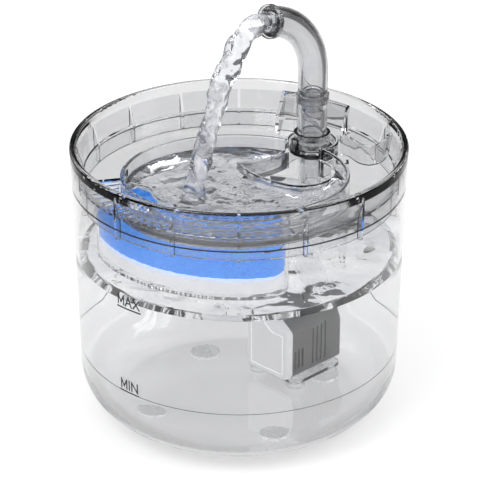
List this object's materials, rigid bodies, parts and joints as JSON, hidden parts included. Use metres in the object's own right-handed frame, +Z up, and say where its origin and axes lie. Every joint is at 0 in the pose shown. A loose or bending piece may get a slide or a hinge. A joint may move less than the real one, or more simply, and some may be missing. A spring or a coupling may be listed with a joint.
{
  "type": "pet water fountain",
  "caption": "Clear round pet water fountain: open tank, drinking tray with a swivelling spout, filter box with foam and cotton pads, and a submersible pump.",
  "frame": {"origin": "on the ground, on the axis of the round tank", "axes": "+Z up, -Y to the front, +X to the right; the spout stands at +X +Y and looks to -X -Y"},
  "size_m": [0.18, 0.18, 0.2308],
  "materials": {
    "clear_tank": "clear moulded plastic, polished",
    "clear_tray": "clear moulded plastic, polished",
    "clear_box": "clear moulded plastic",
    "clear_tube": "clear extruded plastic",
    "clear_plate": "clear moulded plastic",
    "soft_clear": "translucent silicone",
    "white_cotton": "white filter wadding",
    "blue_foam": "open blue filter foam",
    "grey_shell": "grey moulded plastic",
    "white_shell": "white moulded plastic",
    "black_foam": "coarse black foam",
    "magnet": "ferrite",
    "ceramic_shaft": "ground ceramic",
    "dark_rubber": "moulded rubber",
    "core_steel": "laminated steel",
    "copper": "enamelled copper wire"
  },
  "bodies": {
    "tank": {"tank": "clear_tank", "tank_feet": "soft_clear", "supply_tube": "clear_tube", "pump_housing": "grey_shell", "pump_volute_cover": "grey_shell", "pump_shaft": "ceramic_shaft", "pump_shaft_bushes": "dark_rubber", "pump_stator_core": "core_steel", "pump_coil": "copper", "pump_back_plate": "grey_shell", "pump_cable_gland": "dark_rubber", "pump_foot_plate": "clear_plate", "pump_suction_cups": "soft_clear", "pump_intake_foam": "black_foam"},
    "tray": {"drinking_tray": "clear_tray", "faucet_socket": "clear_tube"},
    "filter": {"filter_box": "clear_box", "filter_cotton_pad": "white_cotton", "filter_foam_pad": "blue_foam"},
    "riser": {"riser_tube": "clear_tube", "riser_seal": "soft_clear", "spout_collar": "clear_tube"},
    "spout": {"spout_gooseneck": "clear_tube", "spout_seal": "soft_clear", "outlet_ring": "clear_tube", "outlet_nozzle": "clear_tube"},
    "pump_cover": {"pump_front_cover": "white_shell"},
    "impeller": {"pump_impeller": "white_shell", "pump_rotor_magnet": "magnet"}
  },
  "joints": [
    {"name": "tray_lift", "type": "slide", "parent": "tank", "child": "tray", "axis": [0, 0, 1], "range_m": [0, 0.06]},
    {"name": "filter_drop", "type": "slide", "parent": "tray", "child": "filter", "axis": [0, 0, -1], "range_m": [0, 0.02]},
    {"name": "riser_pull", "type": "slide", "parent": "tray", "child": "riser", "axis": [0, 0, 1], "range_m": [0, 0.012]},
    {"name": "spout_swivel", "type": "hinge", "parent": "riser", "child": "spout", "pos_m": [0.0395, 0.02, 0.174], "axis": [0, 0, 1], "range_deg": [-30, 30]},
    {"name": "impeller_spin", "type": "hinge", "parent": "tank", "child": "impeller", "pos_m": [0.02995, 0.02389, 0.025], "axis": [0.7071, 0.7071, 0], "continuous": true},
    {"name": "cover_pull", "type": "slide", "parent": "tank", "child": "pump_cover", "axis": [-0.7071, -0.7071, 0], "range_m": [0, 0.012]}
  ]
}
